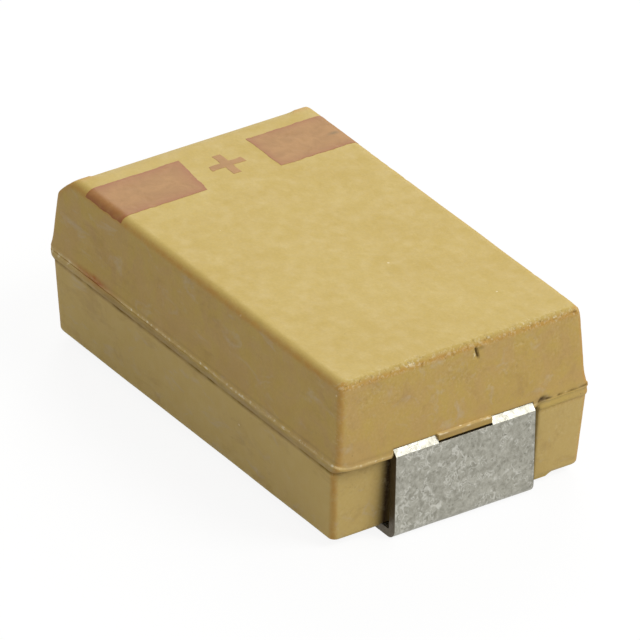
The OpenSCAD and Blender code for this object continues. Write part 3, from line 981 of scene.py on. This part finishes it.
def resin_colour(mat, place):
    """Clouds of two tans on the top and of two duller tones on the walls, with grain, scuffs and specks."""
    wall = marks(mat, "wall")
    cloud = spread(mat, noise(mat, place, 0.9, 3, 0.55, 0.5), 0.36, 0.64)
    top = blend(mat, cloud, paint(*TAN), paint(*TAN_PALE))
    patch = spread(mat, noise(mat, place, 2.1, 4, 0.62, 0.8), 0.40, 0.60)
    side = blend(mat, patch, paint(*WALL_OLIVE), paint(*WALL_PINK))
    colour = blend(mat, wall, top, side)
    grain = spread(mat, noise(mat, place, 26, 3, 0.6), 0.3, 0.7, 0.955, 1.035)
    grey = add(mat, "CombineColor", {0: grain, 1: grain, 2: grain}).outputs[0]
    colour = blend(mat, 1.0, colour, grey, "MULTIPLY")
    colour = layer(mat, colour, marks(mat, "lower"), 0.8, (211, 185, 116))
    long_way = add(mat, "Mapping", {"Vector": place, "Scale": (0.45, 1, 1)}).outputs[0]
    scuff = spread(mat, noise(mat, long_way, 3.4, 5, 0.66, 0.6), 0.56, 0.70)
    colour = layer(mat, colour, scuff, times(mat, wall, 0.55), (204, 186, 156))
    rub = spread(mat, noise(mat, long_way, 2.6, 5, 0.7, 0.5), 0.54, 0.68)
    colour = layer(mat, colour, rub, times(mat, wall, 0.35), (170, 136, 84))
    colour = layer(mat, colour, specks(mat, place, 2.6, 0.055, 0.62), 0.75, (242, 226, 182))
    return layer(mat, colour, specks(mat, place, 3.3, 0.04, 0.72), 0.55, (150, 122, 66))


def moulded_resin():
    """Each layer is a value stored on the mesh, a strength, often broken up by noise, and a tone."""
    mat, shader, place = new_finish("moulded_resin")
    broken = spread(mat, noise(mat, place, 9, 4, 0.6), 0.35, 0.65, 0.5, 1.0)
    # Brighter painted glints, laid on the lip's painted highlight.
    glint = spread(mat, noise(mat, place, 9, 3, 0.6), 0.54, 0.64)
    flake = spread(mat, noise(mat, place, 22, 3, 0.6), 0.50, 0.60)
    crumb = spread(mat, noise(mat, place, 17, 3, 0.6), 0.44, 0.36)
    # Painted light among these layers: shade, gap and the seam's foot line are painted shade, hollow is
    # painted shade in the nick and the pit, and lip is a painted highlight with brighter painted glints.
    layers = [("edge", times(mat, broken, 0.85), (200, 148, 68)), ("shade", 0.5, (140, 112, 66)),
              ("lip", broken, (226, 200, 138)), ("lip", glint, (252, 240, 206)),
              ("stain", broken, (180, 102, 42)), ("seam", broken, (74, 52, 26)), ("gap", 1.0, (56, 36, 16)),
              ("chip", flake, (236, 220, 176)), ("chip", crumb, (140, 108, 52)), ("hollow", 1.0, (74, 54, 24))]
    colour = resin_colour(mat, place)
    for name, strength, tone in layers:
        colour = layer(mat, colour, marks(mat, name), strength, tone)
    link(mat, colour, shader, "Base Color")
    gloss = spread(mat, noise(mat, place, 5, 3, 0.6), 0.3, 0.7, 0.50, 0.66)
    link(mat, gloss, shader, "Roughness")
    # The seam also loses its specular level, so that no reflection lightens its painted shade.
    sheen = spread(mat, marks(mat, "seam"), 0, 0.6, 0.28, 0.0)
    link(mat, sheen, shader, "Specular IOR Level")
    dent(mat, shader, noise(mat, place, 16, 5, 0.62), 0.007, 0.3)
    return mat


def band_ink():
    """Thin ink over the same resin. It is redder along its outline, and the mottling shows through it."""
    mat, shader, place = new_finish("band_ink")
    under = resin_colour(mat, place)
    streak = spread(mat, noise(mat, place, 4.5, 4, 0.6, 0.7), 0.35, 0.65)
    ink = blend(mat, streak, paint(158, 101, 46), paint(177, 120, 66))
    red = spread(mat, noise(mat, place, 6, 3, 0.6), 0.2, 0.5)
    ink = layer(mat, ink, marks(mat, "rim"), red, (152, 68, 38))
    ink = layer(mat, ink, marks(mat, "smudge"), 1.0, (112, 78, 44))
    link(mat, blend(mat, 0.80, under, ink), shader, "Base Color")
    shader.inputs["Roughness"].default_value = 0.52
    shader.inputs["Specular IOR Level"].default_value = 0.28
    dent(mat, shader, noise(mat, place, 16, 5, 0.62), 0.007, 0.3)
    return mat


resin = moulded_resin()
case.data.materials.append(resin)
ink = band_ink()
for piece in (band_left, band_right, plus):
    piece.data.materials.append(ink)
print("resin nodes:", len(resin.node_tree.nodes), "ink nodes:", len(ink.node_tree.nodes))

# %% [markdown]
# ## Tinned metal
# Matte tin over nickel looks grey where it faces the room and white where it faces the lamp. Tumbling in a
# feeder leaves short curly scratches and small specks. The scratches are the level lines of a smooth noise,
# kept only where a second, broader noise is high.

# %% Finish of the terminals
def curls(mat, place, scale, width, low, high):
    """Thin curly lines: the level lines of smooth noise make loops and worms. A broad noise says where they
    are kept, between a low level and a high one."""
    smooth = noise(mat, place, scale, 1.5, 0.5, 0.9)
    away = calc(mat, "ABSOLUTE", calc(mat, "SUBTRACT", smooth, 0.5))
    line = spread(mat, away, width * 0.3, width, 1, 0)
    shifted = add(mat, "Mapping", {"Vector": place, "Location": (scale, 0, scale)}).outputs[0]
    return times(mat, line, spread(mat, noise(mat, shifted, scale * 0.45, 3, 0.6), low, high))


def tinned_strip():
    """Mottled tin with scratches, which are paler and a little raised. The cut sides are darker: partly the
    metal beneath, as they were cut after plating, and partly painted shade. They are where the distance from
    the middle line is greatest."""
    mat, shader, place = new_finish("tinned_strip")
    mottle = spread(mat, noise(mat, place, 11, 6, 0.72, 0.4), 0.34, 0.66)
    colour = blend(mat, mottle, paint(141, 139, 127), paint(182, 180, 168))
    fine = curls(mat, place, 11.0, 0.070, 0.50, 0.58)
    broad = curls(mat, place, 6.0, 0.045, 0.53, 0.60)
    scratch = calc(mat, "MAXIMUM", fine, broad)
    colour = layer(mat, colour, scratch, 0.45, (224, 223, 214))
    colour = layer(mat, colour, specks(mat, place, 9.0, 0.16, 0.60), 0.5, (112, 110, 100))
    colour = layer(mat, colour, specks(mat, place, 8.0, 0.17, 0.55), 0.65, (232, 231, 224))
    # The dark tone of the cut sides is partly bare metal and partly painted shade, in place of the dark
    # reflection those sides show beside the case.
    across = calc(mat, "ABSOLUTE", add(mat, "SeparateXYZ", {0: place}).outputs["Y"])
    cut = spread(mat, across, strip_w / 2 - 0.009, strip_w / 2 - 0.004)
    colour = blend(mat, cut, colour, paint(92, 84, 70))
    link(mat, colour, shader, "Base Color")
    shader.inputs["Metallic"].default_value = 1.0
    gloss = spread(mat, noise(mat, place, 9, 4, 0.6), 0.3, 0.7, 0.36, 0.52)
    link(mat, gloss, shader, "Roughness")
    dent(mat, shader, blend(mat, 0.5, scratch, mottle), 0.006, 0.5)
    return mat


tin = tinned_strip()
for piece in (cathode, anode):
    piece.data.materials.append(tin)
print("tin nodes:", len(tin.node_tree.nodes))

# %% [markdown]
# ## What the case hides
# The pieces inside keep their CAD shapes, because their forms are simple and true. Each still gets the
# finish of the real one, for whoever opens the model: a sintered slug like dark sugar, a drawn wire, a soft
# washer, sooty oxide, polished graphite, flaked silver paint, a coarser silver adhesive and a weld of bright
# melted metal.

# %% Finishes inside the case
def grains(mat, place, scale):
    """Packed grains: high in the middle of each cell of a pattern and low at its borders."""
    cells = add(mat, "TexVoronoi", {"Vector": place, "Scale": scale})
    return spread(mat, cells.outputs["Distance"], 0.0, 0.8, 1, 0)


def paste(mat, place, scale):
    """Grains whose coordinates are pushed about by a colour noise: place + (noise - half) x amount."""
    inputs = {"Vector": place, "Scale": 8, "Detail": 3.0, "Roughness": 0.6}
    push = add(mat, "TexNoise", inputs).outputs["Color"]
    centred = add(mat, "VectorMath", {0: push, 1: (0.5, 0.5, 0.5)}, operation="SUBTRACT").outputs[0]
    scaled = add(mat, "VectorMath", {0: centred, "Scale": 0.12}, operation="SCALE").outputs[0]
    stirred = add(mat, "VectorMath", {0: place, 1: scaled}, operation="ADD").outputs[0]
    return grains(mat, stirred, scale)


def drawn(mat, place, scale):
    """Fine lines along the wire, from a noise stretched by squeezing the coordinates along X."""
    squeezed = add(mat, "Mapping", {"Vector": place, "Scale": (0.15, 1, 1)}).outputs[0]
    return noise(mat, squeezed, scale, 3, 0.6)


def inner_finish(name, dark, pale, metal, rough, depth, pattern, *numbers):
    """A finish whose colour and bump both follow one height map, which the pattern makes from the
    numbers."""
    mat, shader, place = new_finish(name)
    height = pattern(mat, place, *numbers)
    link(mat, blend(mat, height, paint(*dark), paint(*pale)), shader, "Base Color")
    settings = {"Metallic": metal, "Roughness": rough, **WAXY.get(name, {})}
    for key, value in settings.items():
        shader.inputs[key].default_value = value
    dent(mat, shader, height, depth, 0.8)
    return mat


# Light goes a little way into the washer's polymer
WAXY = {"washer_polymer": {"Subsurface Weight": 0.25, "Subsurface Scale": 0.1 * MM}}

# For each CAD node: the finish's name, dark and pale tones, metal, roughness, bump depth, and the pattern with
# its numbers
HIDDEN = {
    "tantalum_slug":
        ("sintered_tantalum", (40, 41, 46), (112, 114, 122), 0.7, 0.62, 0.03, grains, 24),
    "anode_wire":
        ("tantalum_wire", (112, 114, 122), (168, 170, 178), 1.0, 0.34, 0.004, drawn, 40),
    "stop_washer":
        ("washer_polymer", (222, 221, 214), (240, 239, 233), 0.0, 0.42, 0.004, noise, 12, 3, 0.5),
    "manganese_dioxide_coat":
        ("manganese_dioxide", (18, 17, 17), (52, 48, 46), 0.0, 0.85, 0.015, grains, 34),
    "graphite_coat":
        ("graphite", (34, 34, 36), (78, 78, 82), 0.55, 0.40, 0.006, noise, 8, 5, 0.65, 1.2),
    "silver_paint_coat":
        ("silver_paint", (168, 165, 156), (222, 220, 212), 0.9, 0.46, 0.008, noise, 18, 5, 0.7, 0.8),
    "silver_adhesive":
        ("silver_adhesive", (122, 119, 112), (188, 185, 176), 0.75, 0.58, 0.02, paste, 13),
    "weld_bead":
        ("weld_metal", (120, 112, 112), (196, 190, 178), 1.0, 0.30, 0.006, noise, 6, 4, 0.6, 1.5)}
for name, recipe in HIDDEN.items():
    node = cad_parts[name]
    node.data.materials.clear()
    node.data.materials.append(inner_finish(*recipe))
print("inner pieces finished:", len(HIDDEN))
